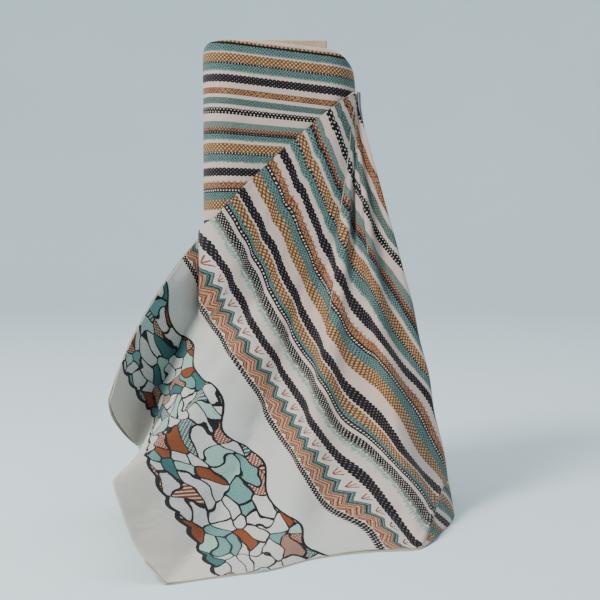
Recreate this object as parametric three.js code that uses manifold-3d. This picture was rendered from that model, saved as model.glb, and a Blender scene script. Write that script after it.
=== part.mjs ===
// Length of embroidered linen wound on a flat board, standing on its end, with the free end folded
// over on the slant and spread forward on the floor. Millimetres, +Z up, front towards -Y.
import * as THREE from "three";
import Module from "manifold-3d";

const wasm = await Module();
wasm.setup();

// Driving sizes
const BOLT_WIDTH = 230;
const BOLT_THICK = 110;
const BOLT_CORNER = 45;
const BOLT_HEIGHT = 690;
const LEAN_DEG = 4;
const DRAPE_LEAN_DEG = 8;
const YAW_DEG = 4;
const CLOTH = 2.0;
const SEAM_GAP = 0.35;
const BOARD_WIDTH = 170;
const BOARD_THICK = 16;
const BOARD_SHIFT = -10;
const BOARD_SHOWS = 13;
const CLOTH_ABOVE_PINCH = 56;
const CLOTH_BELOW_PINCH = 644;
const FREE_LENGTH = 650;
const PINCH = [110.5, 57, 620];
const TOP_FOLD_START = [115, 98, 644];
const RING_STEPS = 56;

// Frame of the leaning bolt: x across the front, n out of the front face, h up the board.
const rad = Math.PI / 180;
const across = new THREE.Vector3(Math.cos(YAW_DEG * rad), Math.sin(YAW_DEG * rad), 0);
const level = new THREE.Vector3(Math.sin(YAW_DEG * rad), -Math.cos(YAW_DEG * rad), 0);
const upright = new THREE.Vector3(0, 0, 1);
const cosL = Math.cos(LEAN_DEG * rad);
const sinL = Math.sin(LEAN_DEG * rad);
const outward = level.clone().multiplyScalar(cosL).addScaledVector(upright, sinL);
const along = upright.clone().multiplyScalar(cosL).addScaledVector(level, -sinL);

function fromBolt(x, n, h) {
  return across.clone().multiplyScalar(x).addScaledVector(outward, n).addScaledVector(along, h);
}

// How far the top rim sinks towards the right, where the cloth is pulled down to the pinch.
function rimDip(x) {
  const right = Math.max(0, Math.min(BOLT_CORNER, x - (BOLT_WIDTH / 2 - BOLT_CORNER)));
  const left = Math.max(0, Math.min(14, -x - (BOLT_WIDTH / 2 - 14)));
  const slope = 0.12 * Math.max(0, x + 30);
  const roundRight = BOLT_CORNER - Math.sqrt(BOLT_CORNER ** 2 - right ** 2);
  const roundLeft = 14 - Math.sqrt(14 ** 2 - left ** 2);
  return slope + 0.8 * roundRight + 0.7 * roundLeft;
}

// One ring of a rounded rectangle, grown by an offset. Every quarter gives the same share of its
// points to the short flat, the round corner and the long flat, so rings of any size line up.
const SHORT_SHARE = 0.1;
const CORNER_SHARE = 0.45;
function ring(halfW, halfT, corner, grow) {
  const points = [];
  const r = corner + grow;
  for (let i = 0; i < RING_STEPS; i++) {
    const quarter = Math.floor((i * 4) / RING_STEPS);
    const part = (i * 4) / RING_STEPS - quarter;
    // Quarters two and four run the other way, from the long flat to the short one.
    const d = quarter % 2 === 0 ? part : 1 - part;
    const signX = quarter === 0 || quarter === 3 ? 1 : -1;
    const signN = quarter < 2 ? 1 : -1;
    let x = halfW + grow;
    let n = (halfT - corner) * Math.min(1, d / SHORT_SHARE);
    if (d > SHORT_SHARE) {
      const angle = Math.min(1, (d - SHORT_SHARE) / CORNER_SHARE) * 90 * rad;
      x = halfW - corner + r * Math.cos(angle);
      n = halfT - corner + r * Math.sin(angle);
    }
    if (d > SHORT_SHARE + CORNER_SHARE) {
      const flat = (1 - d) / (1 - SHORT_SHARE - CORNER_SHARE);
      x = (halfW - corner) * flat;
    }
    points.push([signX * x, signN * n]);
  }
  return points;
}

// A closed solid from rings of equal count. The last ring joins the first one, or with capped set
// the first and the last ring are closed by flat ends.
function solidOfRings(rings, capped) {
  const count = rings[0].length;
  const position = rings.flat().flatMap((p) => [p.x, p.y, p.z]);
  const index = [];
  const turnsRound = capped ? rings.length - 1 : rings.length;
  for (let j = 0; j < turnsRound; j++) {
    const next = (j + 1) % rings.length;
    for (let i = 0; i < count; i++) {
      const k = (i + 1) % count;
      index.push(j * count + i, next * count + k, j * count + k);
      index.push(j * count + i, next * count + i, next * count + k);
    }
  }
  if (capped) {
    const last = (rings.length - 1) * count;
    for (let i = 1; i < count - 1; i++) {
      index.push(0, i, i + 1);
      index.push(last, last + i + 1, last + i);
    }
  }
  return { position, index };
}

// A cloth wall: a grid of points and the same grid moved out along its normals.
function clothWall(grid, thick) {
  const rows = grid.length;
  const cols = grid[0].length;
  const at = (i, j) => grid[Math.min(rows - 1, Math.max(0, i))][Math.min(cols - 1, Math.max(0, j))];
  const position = [];
  const outer = [];
  for (let i = 0; i < rows; i++) {
    for (let j = 0; j < cols; j++) {
      const du = at(i + 1, j).clone().sub(at(i - 1, j));
      const dv = at(i, j + 1).clone().sub(at(i, j - 1));
      const normal = du.cross(dv).normalize();
      const p = grid[i][j];
      position.push(p.x, p.y, p.z);
      const q = p.clone().addScaledVector(normal, thick);
      outer.push(q.x, q.y, q.z);
    }
  }
  const base = rows * cols;
  const index = [];
  const quad = (a, b, c, d) => index.push(a, b, c, a, c, d);
  for (let i = 0; i < rows - 1; i++) {
    for (let j = 0; j < cols - 1; j++) {
      const a = i * cols + j;
      quad(a, a + 1, a + cols + 1, a + cols);
      quad(base + a, base + a + cols, base + a + cols + 1, base + a + 1);
    }
  }
  for (let i = 0; i < rows - 1; i++) {
    const a = i * cols;
    const b = a + cols - 1;
    quad(a, a + cols, base + a + cols, base + a);
    quad(b, base + b, base + b + cols, b + cols);
  }
  for (let j = 0; j < cols - 1; j++) {
    const b = (rows - 1) * cols + j;
    quad(j, base + j, base + j + 1, j + 1);
    quad(b, b + 1, base + b + 1, base + b);
  }
  return { position: position.concat(outer), index };
}

function solid(shape) {
  return new wasm.Manifold(
    new wasm.Mesh({
      numProp: 3,
      vertProperties: new Float32Array(shape.position),
      triVerts: new Uint32Array(shape.index),
    }),
  );
}

// Everything below the floor is cut away, so the bolt stands on a flat end.
const ground = wasm.Manifold.cube([2000, 2000, 200], true).translate([0, 0, -100]);

function piece(name, manifold, look) {
  const mesh = manifold.getMesh();
  const geometry = new THREE.BufferGeometry();
  geometry.setAttribute("position", new THREE.BufferAttribute(mesh.vertProperties, 3));
  geometry.setIndex(new THREE.BufferAttribute(mesh.triVerts, 1));
  geometry.computeVertexNormals();
  const made = new THREE.Mesh(geometry, new THREE.MeshStandardMaterial(look));
  made.name = name;
  return made;
}

const group = new THREE.Group();
group.name = "linen_on_board";

// Flat board inside the wound cloth; its bare end shows above the rim.
function boardRing(halfW, halfT, h, dip) {
  return ring(halfW, halfT, 3, 0).map(([x, n]) =>
    fromBolt(x + BOARD_SHIFT, n, dip ? h - 1.2 : h),
  );
}
const boardTop = BOLT_HEIGHT + BOARD_SHOWS;
const boardRings = [
  boardRing(BOARD_WIDTH / 2, BOARD_THICK / 2, -20, false),
  boardRing(BOARD_WIDTH / 2, BOARD_THICK / 2, boardTop, true),
  boardRing(BOARD_WIDTH / 2 - 1.2, BOARD_THICK / 2 - 1.2, boardTop, false),
];
const boardShape = solidOfRings(boardRings, true);
group.add(
  piece("core_board", solid(boardShape).subtract(ground), {
    color: 0xd9c7ad,
    roughness: 0.85,
    metalness: 0,
  }),
);

// Wound cloth: one rounded solid round the board, its top end stepped like the edges of the turns.
function boltRing(grow, lift, corner) {
  return ring(BOLT_WIDTH / 2, BOLT_THICK / 2, corner, grow).map(([x, n]) =>
    fromBolt(x, n, lift === null ? -20 : BOLT_HEIGHT - rimDip(x) + lift),
  );
}
const LAYER_STEPS = [
  { inset: 0, lift: -3 },
  { inset: 1.5, lift: 0 },
  { inset: 4.5, lift: 0 },
  { inset: 5, lift: -2.5 },
  { inset: 7.5, lift: -2.5 },
  { inset: 8, lift: 0.5 },
  { inset: 11.5, lift: 0.5 },
  { inset: 12, lift: -2.5 },
  { inset: 15, lift: -2.5 },
  { inset: 15.5, lift: 0 },
];
const holeHalfW = BOARD_WIDTH / 2 + SEAM_GAP;
const holeHalfT = BOARD_THICK / 2 + SEAM_GAP;
function holeRing(h) {
  return ring(holeHalfW, holeHalfT, 3.2, 0).map(([x, n]) =>
    fromBolt(x + BOARD_SHIFT, n, h === null ? -20 : BOLT_HEIGHT - rimDip(x) - 1),
  );
}
const SIDE_ROWS = 6;
const woundRings = [boltRing(0, null, BOLT_CORNER)];
for (let j = 1; j < SIDE_ROWS; j++) {
  const part = j / SIDE_ROWS;
  woundRings.push(
    ring(BOLT_WIDTH / 2, BOLT_THICK / 2, BOLT_CORNER, 0).map(([x, n]) =>
      fromBolt(x, n, -20 + part * (BOLT_HEIGHT - rimDip(x) + 17)),
    ),
  );
}
for (const step of LAYER_STEPS) woundRings.push(boltRing(-step.inset, step.lift, BOLT_CORNER));
woundRings.push(holeRing(1));
woundRings.push(holeRing(null));
group.add(
  piece("wound_layers", solid(solidOfRings(woundRings, false)).subtract(ground), {
    color: 0xd8cfc2,
    roughness: 0.95,
    metalness: 0,
  }),
);

// Outermost turn with the level stripes: an open tube of cloth round the wound layers.
const WRAP_ROWS = 10;
function wrapRings(grow, up) {
  const rings = [];
  for (let j = 0; j <= WRAP_ROWS; j++) {
    const part = up ? j / WRAP_ROWS : 1 - j / WRAP_ROWS;
    rings.push(
      ring(BOLT_WIDTH / 2, BOLT_THICK / 2, BOLT_CORNER, grow).map(([x, n]) =>
        fromBolt(x, n, -20 + part * (BOLT_HEIGHT - rimDip(x) + 21)),
      ),
    );
  }
  return rings;
}
const wrapShape = solidOfRings(
  [...wrapRings(SEAM_GAP + CLOTH, true), ...wrapRings(SEAM_GAP, false)],
  false,
);
group.add(
  piece("outer_wrap", solid(wrapShape).subtract(ground), {
    color: 0xdcd3c6,
    roughness: 0.95,
    metalness: 0,
  }),
);

// Sections of the free end. Every section is a straight line of the flat cloth from the pinch to
// the hem; turn is its angle from the stripes in the flat cloth, hem is where it ends and sag is how
// far its middle leaves the straight line.
const SECTIONS = [
  { turn: 77.0, hem: [-230, -225, 184], sag: [-78, 105, -20] },
  { turn: 72.5, hem: [-222, -195, 150], sag: [-68, 95, -27] },
  { turn: 68.2, hem: [-205, -155, 111], sag: [-60, 95, -40] },
  { turn: 63.0, hem: [-190, -225, 105], sag: [-48, 95, -62] },
  { turn: 58.0, hem: [-196, -310, 108], sag: [-30, 98, -82] },
  { turn: 53.8, hem: [-203, -375, 110], sag: [-14, 97, -106] },
  { turn: 49.0, hem: [-175, -432, 50], sag: [-4, 102, -118] },
  { turn: 44.7, hem: [-130, -459, 0], sag: [-2, 106, -124] },
  { turn: 41.1, hem: [-70, -432, 0], sag: [2, 94, -114] },
  { turn: 36.0, hem: [-12, -407, 0], sag: [10, 66, -88] },
  { turn: 30.5, hem: [64, -345, 0], sag: [12, 58, -78] },
  { turn: 28.0, hem: [132, -318, 0], sag: [2, 50, -68] },
  { turn: 24.6, hem: [185, -312, 0], sag: [-8, 50, -44] },
  { turn: 21.5, hem: [206, -276, 2], sag: [-8, 42, -34] },
  { turn: 18.5, hem: [224, -228, 0], sag: [-4, 36, -26] },
  { turn: 15.0, hem: [243, -176, 0], sag: [2, 24, -16] },
  { turn: 10.0, hem: [252, -118, 0], sag: [12, 4, -4] },
  { turn: 4.4, hem: [251, -58, 0], sag: [10, 0, 0] },
  { turn: -4.9, hem: [243, 40, 0], sag: [0, 0, 0] },
];

// Creases that run out from the pinch: turn they lie on, half width in degrees, depth in mm, the
// part of the length where they are deepest.
const CREASES = [
  { turn: 61, half: 3.2, depth: 9, peak: 0.42 },
  { turn: 55, half: 2.6, depth: -6, peak: 0.5 },
  { turn: 47, half: 3.0, depth: 7, peak: 0.55 },
  { turn: 38, half: 2.6, depth: -8, peak: 0.5 },
  { turn: 33, half: 2.4, depth: 6, peak: 0.4 },
  { turn: 26, half: 2.2, depth: -5, peak: 0.6 },
  { turn: 17, half: 2.4, depth: -6, peak: 0.35 },
  { turn: 12, half: 2.2, depth: 5, peak: 0.6 },
  { turn: 6, half: 2.4, depth: -7, peak: 0.45 },
  { turn: 0, half: 2.6, depth: 7, peak: 0.65 },
];

// Smooth monotone curve through the section values.
function through(turns, values, turn) {
  const n = turns.length;
  const h = [];
  const d = [];
  for (let i = 0; i < n - 1; i++) {
    h.push(turns[i + 1] - turns[i]);
    d.push((values[i + 1] - values[i]) / h[i]);
  }
  const m = [d[0]];
  for (let i = 1; i < n - 1; i++) {
    if (d[i - 1] * d[i] <= 0) m.push(0);
    else {
      const w1 = 2 * h[i] + h[i - 1];
      const w2 = h[i] + 2 * h[i - 1];
      m.push((w1 + w2) / (w1 / d[i - 1] + w2 / d[i]));
    }
  }
  m.push(d[n - 2]);
  const x = Math.max(turns[0], Math.min(turns[n - 1], turn));
  let k = 0;
  while (k < n - 2 && x > turns[k + 1]) k++;
  const t = (x - turns[k]) / h[k];
  const t2 = t * t;
  const t3 = t2 * t;
  return (
    (2 * t3 - 3 * t2 + 1) * values[k] +
    (t3 - 2 * t2 + t) * h[k] * m[k] +
    (3 * t2 - 2 * t3) * values[k + 1] +
    (t3 - t2) * h[k] * m[k + 1]
  );
}

const ordered = [...SECTIONS].reverse();
const turns = ordered.map((row) => row.turn);
const LAST_TURN = turns[0];
const pinch = new THREE.Vector3(...PINCH);

// Length of the flat cloth from the pinch to its edge along a turn.
function flatReach(turn) {
  const c = Math.cos(turn * rad);
  const s = Math.sin(turn * rad);
  const toEnd = c > 1e-6 ? FREE_LENGTH / c : Infinity;
  let toEdge = Infinity;
  if (s > 1e-6) toEdge = CLOTH_BELOW_PINCH / s;
  if (s < -1e-6) toEdge = -CLOTH_ABOVE_PINCH / s;
  return Math.min(toEnd, toEdge);
}

function hemAndSag(turn) {
  const pick = (key, axis) =>
    through(
      turns,
      ordered.map((row) => row[key][axis]),
      Math.max(turn, LAST_TURN),
    );
  const hem = new THREE.Vector3(pick("hem", 0), pick("hem", 1), pick("hem", 2));
  const sag = new THREE.Vector3(pick("sag", 0), pick("sag", 1), pick("sag", 2));
  if (turn < LAST_TURN) {
    // Past the last section the edge is the top fold, which runs back up to the bolt.
    const s = CLOTH_ABOVE_PINCH / Math.tan(-turn * rad);
    const start = new THREE.Vector3(...TOP_FOLD_START);
    hem.copy(start.lerp(hem, s / FREE_LENGTH));
  }
  return { hem, sag };
}

function creaseDepth(turn, t) {
  let sum = 0;
  for (const c of CREASES) {
    const a = (turn - c.turn) / c.half;
    const b = (t - c.peak) / 0.34;
    sum += c.depth * Math.exp(-a * a) * Math.exp(-b * b);
  }
  return sum;
}

// The sections are set out for a bolt that leans back by DRAPE_LEAN_DEG. The higher a point
// of the drape is, the further it comes forward with the steeper bolt.
const COMES_FORWARD = Math.tan(DRAPE_LEAN_DEG * rad) - Math.tan(LEAN_DEG * rad);

function freePoint(turn, t) {
  const { hem, sag } = hemAndSag(turn);
  const p = pinch
    .clone()
    .lerp(hem, t)
    .addScaledVector(sag, 4 * t * (1 - t));
  p.y -= COMES_FORWARD * p.z;
  return p;
}

// Keeps a point of hanging cloth clear of the bolt. Cloth in front is lifted out of the front face,
// less and less round the corners, and what is still too near moves straight out of the side.
function clearOfBolt(p, room, inFront) {
  const x = p.dot(across);
  const n = p.dot(outward);
  const outX = Math.max(Math.abs(x) - (BOLT_WIDTH / 2 - BOLT_CORNER), 0);
  // A little more room round the corners, where the flat facets of the cloth cut the curve.
  const ease = 2.8 * THREE.MathUtils.smoothstep(Math.abs(x), 40, 74);
  const sideEase = 2.4 * THREE.MathUtils.smoothstep(Math.abs(x), 92, 110);
  const reach = BOLT_CORNER + room + ease + sideEase;
  let lifted = n;
  if (inFront) {
    const share = 1 - THREE.MathUtils.smoothstep(Math.abs(x), 96, 124);
    const rise = Math.sqrt(Math.max(reach ** 2 - outX ** 2, 0));
    const over = n - (BOLT_THICK / 2 - BOLT_CORNER + rise);
    const lift = over <= -10 ? -over : over < 10 ? (over - 10) ** 2 / 40 : 0;
    lifted = n + share * lift;
  }
  const outN = Math.max(Math.abs(lifted) - (BOLT_THICK / 2 - BOLT_CORNER), 0);
  const far = Math.hypot(outX, outN);
  let move = 0;
  if (far > 1e-6 && far < reach + 6) {
    const over = far - reach;
    move = (over <= -6 ? -over : (over - 6) ** 2 / 24) / far;
  }
  return p
    .clone()
    .addScaledVector(across, Math.sign(x) * outX * move)
    .addScaledVector(outward, lifted - n + Math.sign(lifted) * outN * move);
}

const ROOM = SEAM_GAP + CLOTH + SEAM_GAP + 1.9;
const T_ROWS = 34;
const NEAR_PINCH = 9;

function freeGrid() {
  const list = [];
  const FREE_STEPS = 54;
  for (let i = 0; i <= FREE_STEPS; i++) {
    list.push(77 + ((LAST_TURN - 77) * i) / FREE_STEPS);
  }
  for (const extra of [-6.2, -8.5, -12.5, -20, -38, -65]) list.push(extra);
  return list.map((turn) => {
    const reach = flatReach(turn);
    const first = Math.min(0.35, NEAR_PINCH / reach);
    const row = [];
    for (let j = 0; j < T_ROWS; j++) {
      const t = first + (1 - first) * (j / (T_ROWS - 1));
      const p = freePoint(turn, t);
      const ahead = freePoint(turn, Math.min(1, t + 0.01)).sub(freePoint(turn, t - 0.01));
      const aside = freePoint(turn - 0.6, t).sub(freePoint(turn + 0.6, t));
      const normal = aside.cross(ahead).normalize().negate();
      p.addScaledVector(normal, creaseDepth(turn, t));
      const q = clearOfBolt(p, ROOM, turn > 2);
      q.z = Math.max(q.z, 0.05);
      row.push(q);
    }
    return row;
  });
}

const freeRows = freeGrid().reverse();
group.add(
  piece("free_end", solid(clothWall(freeRows, CLOTH)), {
    color: 0xd2c3b0,
    roughness: 0.95,
    metalness: 0,
  }),
);

// Layer folded under: from the slanting fold edge back to the left side of the bolt.
const UNDER_FROM = 0.5;
const UNDER_ROWS = 18;
const UNDER_COLS = 14;
function underGrid() {
  const rows = [];
  for (let i = 0; i < UNDER_ROWS; i++) {
    const u = i / (UNDER_ROWS - 1);
    const edge = freePoint(77, UNDER_FROM + (0.995 - UNDER_FROM) * u);
    const edgeClear = clearOfBolt(edge, ROOM, true);
    edgeClear.add(new THREE.Vector3(-1.9, 2.75, 0));
    const back = fromBolt(-BOLT_WIDTH / 2 - ROOM - 2, -4 - 22 * u, 372 - 352 * u);
    const row = [];
    for (let j = 0; j < UNDER_COLS; j++) {
      const v = j / (UNDER_COLS - 1);
      const p = edgeClear.clone().lerp(back, v);
      const belly = 4 * v * (1 - v) * Math.min(1, u * 1.5 + 0.1);
      p.add(new THREE.Vector3(-38, 12, -6).multiplyScalar(belly));
      row.push(clearOfBolt(p, ROOM + 1, false));
    }
    rows.push(row);
  }
  return rows;
}
group.add(
  piece("folded_under_layer", solid(clothWall(underGrid(), CLOTH)), {
    color: 0xc9bca9,
    roughness: 0.95,
    metalness: 0,
  }),
);

// The part's origin is the middle of its footprint, on the floor.
const footprint = new THREE.Box3().setFromObject(group);
const middle = footprint.getCenter(new THREE.Vector3());
for (const mesh of group.children) {
  mesh.geometry.translate(-middle.x, -middle.y, -footprint.min.z);
}

export default group;
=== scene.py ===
import bpy
import numpy as np
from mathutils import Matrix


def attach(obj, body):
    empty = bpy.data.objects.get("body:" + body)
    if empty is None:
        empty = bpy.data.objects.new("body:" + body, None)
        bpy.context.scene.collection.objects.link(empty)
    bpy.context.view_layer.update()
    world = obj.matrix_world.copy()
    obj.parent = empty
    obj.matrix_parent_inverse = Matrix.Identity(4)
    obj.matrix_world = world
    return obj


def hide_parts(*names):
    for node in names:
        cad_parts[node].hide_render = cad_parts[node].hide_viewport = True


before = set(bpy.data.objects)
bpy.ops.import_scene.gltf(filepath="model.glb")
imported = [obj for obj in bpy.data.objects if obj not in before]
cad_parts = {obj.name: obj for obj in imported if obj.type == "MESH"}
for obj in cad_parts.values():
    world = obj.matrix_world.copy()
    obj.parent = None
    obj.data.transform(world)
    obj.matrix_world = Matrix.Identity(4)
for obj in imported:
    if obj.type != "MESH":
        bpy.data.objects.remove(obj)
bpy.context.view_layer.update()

# Studio
# Camera a little above the bolt's middle and tipped down by 5 degrees, as the photo was taken.
# The backdrop is one bowl of pale paper, so every side of the cloth is seen against the same tone.
camera_data = bpy.data.cameras.new("photo_camera")
camera_data.lens = 74.46
camera_data.sensor_width = 36.0
camera_data.clip_start = 0.05
camera_data.clip_end = 40.0
camera = bpy.data.objects.new("photo_camera", camera_data)
camera.location = (0.0201, -1.7299, 0.468)
camera.rotation_euler = (np.radians(85.0), 0.0, 0.0)
bpy.context.scene.collection.objects.link(camera)
bpy.context.scene.camera = camera


def hex_colour(code):
    """sRGB hex value turned to linear light, with full alpha."""
    parts = np.array([int(code[i : i + 2], 16) for i in (0, 2, 4)]) / 255.0
    linear = np.where(parts <= 0.04045, parts / 12.92, ((parts + 0.055) / 1.055) ** 2.4)
    return (*[float(v) for v in linear], 1.0)


def add_node(tree, kind, inputs=(), **settings):
    """Adds a shader node with its settings. Its inputs come by name or in order: a socket is linked,
    a node is linked by its first output, and a number, colour or vector is set."""
    made = tree.nodes.new(kind)
    for name, value in settings.items():
        setattr(made, name, value)
    for socket, value in inputs.items() if isinstance(inputs, dict) else enumerate(inputs):
        if isinstance(value, bpy.types.Node):
            value = value.outputs[0]
        if isinstance(value, bpy.types.NodeSocket):
            tree.links.new(value, made.inputs[socket])
        else:
            made.inputs[socket].default_value = value
    return made


def grid_mesh(name, points, closed_across=False, uv=None):
    """Mesh object of a grid of points, rows by columns. With closed_across set the last column
    joins the first one. uv gives two numbers for each point of the grid."""
    rows, cols = points.shape[:2]
    across = np.arange(cols if closed_across else cols - 1)
    down = np.arange(rows - 1)
    a = down[:, None] * cols + across[None, :]
    b = down[:, None] * cols + (across[None, :] + 1) % cols
    quads = np.stack([a, b, b + cols, a + cols], axis=-1).reshape(-1, 4)
    mesh = bpy.data.meshes.new(name)
    mesh.from_pydata(points.reshape(-1, 3).tolist(), [], quads.tolist())
    if uv is not None:
        # The seam column of a closed grid takes its own value, one past the last column.
        u_cols = uv.shape[1]
        c = down[:, None] * u_cols + across[None, :]
        corner = np.stack([c, c + 1, c + 1 + u_cols, c + u_cols], axis=-1).reshape(-1)
        layer = mesh.uv_layers.new(name="cloth_mm")
        layer.data.foreach_set("uv", uv.reshape(-1, 2)[corner].reshape(-1))
    mesh.shade_smooth()
    made = bpy.data.objects.new(name, mesh)
    bpy.context.scene.collection.objects.link(made)
    return made


# Bowl of paper: flat floor, a wide curve up and a wall, turned about the middle.
floor_radius = 3.4
curve_radius = 1.5
wall_height = 4.2
up_angle = np.radians(np.linspace(0, 90, 18))
floor_rings = 12
bowl_sides = 96
bowl_floor = np.linspace(0.002, floor_radius, floor_rings)
bowl_curve = floor_radius + curve_radius * np.sin(up_angle)
bowl_r = np.concatenate([bowl_floor, bowl_curve, [floor_radius + curve_radius]])
bowl_rise = curve_radius * (1 - np.cos(up_angle))
bowl_z = np.concatenate([np.zeros(floor_rings), bowl_rise, [wall_height]])
round_angle = np.linspace(0, 2 * np.pi, bowl_sides + 1)[:-1]
bowl = np.stack(
    [
        bowl_r[:, None] * np.cos(round_angle),
        bowl_r[:, None] * np.sin(round_angle),
        np.repeat(bowl_z[:, None], bowl_sides, axis=1),
    ],
    axis=-1,
)
backdrop = grid_mesh("paper_bowl", bowl, closed_across=True)
backdrop.data.flip_normals()


def bare_material(name):
    """New material with an empty node tree, and that tree."""
    made = bpy.data.materials.new(name)
    made.use_nodes = True
    made.node_tree.nodes.clear()
    return made, made.node_tree


# Matt studio paper: pale blue grey, with a very faint mottle.
paper, tree = bare_material("matt_studio_paper")
place = add_node(tree, "ShaderNodeTexCoord")
mottle = add_node(
    tree, "ShaderNodeTexNoise", {"Vector": place.outputs["Object"], "Scale": 1.6, "Detail": 3.0}
)
tone = add_node(tree, "ShaderNodeValToRGB", {"Fac": mottle.outputs["Fac"]})
tone.color_ramp.elements[0].color = hex_colour("c4d6dd")
tone.color_ramp.elements[1].color = hex_colour("cbdce3")
skin = add_node(
    tree, "ShaderNodeBsdfPrincipled", {"Base Color": tone.outputs["Color"], "Roughness": 0.95}
)
add_node(tree, "ShaderNodeOutputMaterial", {"Surface": skin.outputs["BSDF"]})
backdrop.data.materials.append(paper)


def soft_lamp(name, place, aim, size, power, colour):
    """Square area lamp at place that faces aim."""
    data = bpy.data.lights.new(name, "AREA")
    data.shape = "SQUARE"
    data.size = size
    data.energy = power
    data.color = hex_colour(colour)[:3]
    lamp = bpy.data.objects.new(name, data)
    lamp.location = place
    direction = np.array(aim, float) - np.array(place, float)
    flat = np.hypot(direction[0], direction[1])
    lamp.rotation_euler = (
        float(np.pi / 2 + np.arctan2(direction[2], flat)),
        0.0,
        float(np.arctan2(direction[1], direction[0]) - np.pi / 2),
    )
    bpy.context.scene.collection.objects.link(lamp)


soft_lamp("key_left", (-1.9, -1.2, 2.7), (0, 0.1, 0.3), 1.0, 165, "fff8f2")
soft_lamp("fill_right", (2.4, -1.8, 1.4), (0, 0.1, 0.3), 2.2, 12, "f2f6ff")
soft_lamp("top_soft", (0.2, 1.4, 3.6), (0, 1.4, 0), 3.4, 110, "ffffff")
world = bpy.data.worlds.new("studio_air")
world.use_nodes = True
air = world.node_tree.nodes["Background"]
air.inputs["Color"].default_value = hex_colour("dfe6ea")
air.inputs["Strength"].default_value = 0.40
bpy.context.scene.world = world

# Board
# Flat pale fibreboard that the cloth is wound on. Only its bare end shows above the rim; the cloth
# holds it by being wound tight.
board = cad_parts["core_board"]
# Pressed fibreboard: dull buff face with short darker fibres and a slightly rough cut edge.
fibreboard, tree = bare_material("pressed_fibreboard")
place = add_node(tree, "ShaderNodeTexCoord")
stretch = add_node(
    tree, "ShaderNodeMapping", {"Vector": place.outputs["Object"], "Scale": (1.0, 1.0, 0.2)}
)
# Fibres about 1 mm thick and 5 mm long.
fibres = add_node(
    tree,
    "ShaderNodeTexNoise",
    {"Vector": stretch.outputs["Vector"], "Scale": 900.0, "Detail": 4.0, "Roughness": 0.65},
)
tone = add_node(tree, "ShaderNodeValToRGB", {"Fac": fibres.outputs["Fac"]})
tone.color_ramp.elements[0].position = 0.3
tone.color_ramp.elements[0].color = hex_colour("8d7a63")
tone.color_ramp.elements[1].position = 0.7
tone.color_ramp.elements[1].color = hex_colour("c9b9a0")
dents = add_node(
    tree, "ShaderNodeBump", {"Height": fibres.outputs["Fac"], "Strength": 0.35, "Distance": 0.0006}
)
skin = add_node(
    tree,
    "ShaderNodeBsdfPrincipled",
    {"Base Color": tone.outputs["Color"], "Normal": dents.outputs["Normal"], "Roughness": 0.88},
)
add_node(tree, "ShaderNodeOutputMaterial", {"Surface": skin.outputs["BSDF"]})
board.data.materials.clear()
board.data.materials.append(fibreboard)

# Embroidered linen
# Pinkish off-white plain-weave linen with bands of machine embroidery along its length: round chain
# links, cross-hatch, dashes, zigzags and sprigs, and a wide band of pebble shapes near one edge.
# Every cloth piece carries its own flat position in metres: u along the stripes, v across them.
linen, tree = bare_material("embroidered_linen")


def between(value, low, high):
    """1 where value lies from low to high."""
    return add_node(
        tree, "ShaderNodeMath", (value, (low + high) / 2, (high - low) / 2), operation="COMPARE"
    )


def any_of(masks):
    """The largest of several masks."""
    total = masks[0]
    for mask in masks[1:]:
        total = add_node(tree, "ShaderNodeMath", (total, mask), operation="MAXIMUM")
    return total


def within(distance, reach):
    """1 where a distance is less than reach."""
    return add_node(tree, "ShaderNodeMath", (distance, reach), operation="LESS_THAN")


def cell(value, pitch, shift=0.0):
    """Place of value in its repeat, from -pitch/2 to pitch/2, with 0 in the middle."""
    moved = add_node(tree, "ShaderNodeMath", (value, shift), operation="ADD") if shift else value
    in_repeat = add_node(tree, "ShaderNodeMath", (moved, pitch), operation="FLOORED_MODULO")
    return add_node(tree, "ShaderNodeMath", (in_repeat, pitch / 2), operation="SUBTRACT")


def off_middle(value, pitch, shift=0.0):
    """Distance of value from the middle of its repeat."""
    return add_node(tree, "ShaderNodeMath", (cell(value, pitch, shift),), operation="ABSOLUTE")


flat_place = add_node(tree, "ShaderNodeUVMap", uv_map="cloth_mm")
in_mm = add_node(
    tree, "ShaderNodeVectorMath", (flat_place.outputs["UV"], (1000.0, 1000.0, 0.0)), operation="MULTIPLY"
)
# Stitches never end on one straight line: the edges wander by a third of a millimetre.
wander = add_node(tree, "ShaderNodeTexNoise", {"Vector": in_mm.outputs[0], "Scale": 0.55, "Detail": 1.0})
centred = add_node(
    tree, "ShaderNodeVectorMath", (wander.outputs["Color"], (0.5, 0.5, 0.5)), operation="SUBTRACT"
)
shaken = add_node(
    tree,
    "ShaderNodeVectorMath",
    (centred.outputs[0], (1.5, 1.5, 0.0), in_mm.outputs[0]),
    operation="MULTIPLY_ADD",
)
parts = add_node(tree, "ShaderNodeSeparateXYZ", {"Vector": shaken.outputs[0]})
run = parts.outputs["X"]
level = parts.outputs["Y"]

# Thread colours, as dyed and a little faded.
thread_black = "0c0a0e"
thread_purple = "6d606b"
thread_teal = "38514f"
thread_deep_teal = "1a2f33"
thread_light_teal = "5f7a76"
thread_mint = "7fa096"
thread_ochre = "967046"
thread_brown = "4c2c1c"
thread_straw = "ccae86"
thread_rust = "7c432d"
thread_peach = "bb9274"
thread_red = "6b2d22"
thread_green = "5f665d"
thread_white = "c2bab3"

# Lines of the braided chains, and the repeats of the bands along the cloth, in mm.
braid_levels = (0.0, 140.0, 217.0, 294.0)
braid_pitch = 6.4
narrow_pitch = 5.4
seed_pitch = 4.6
point_pitch = 8.8
zigzag_pitch = 26.5
# Zigzag lines of the wide band: levels of the lowest and highest points of the first line.
zigzag_low = 311.5
zigzag_high = 322.5


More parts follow.
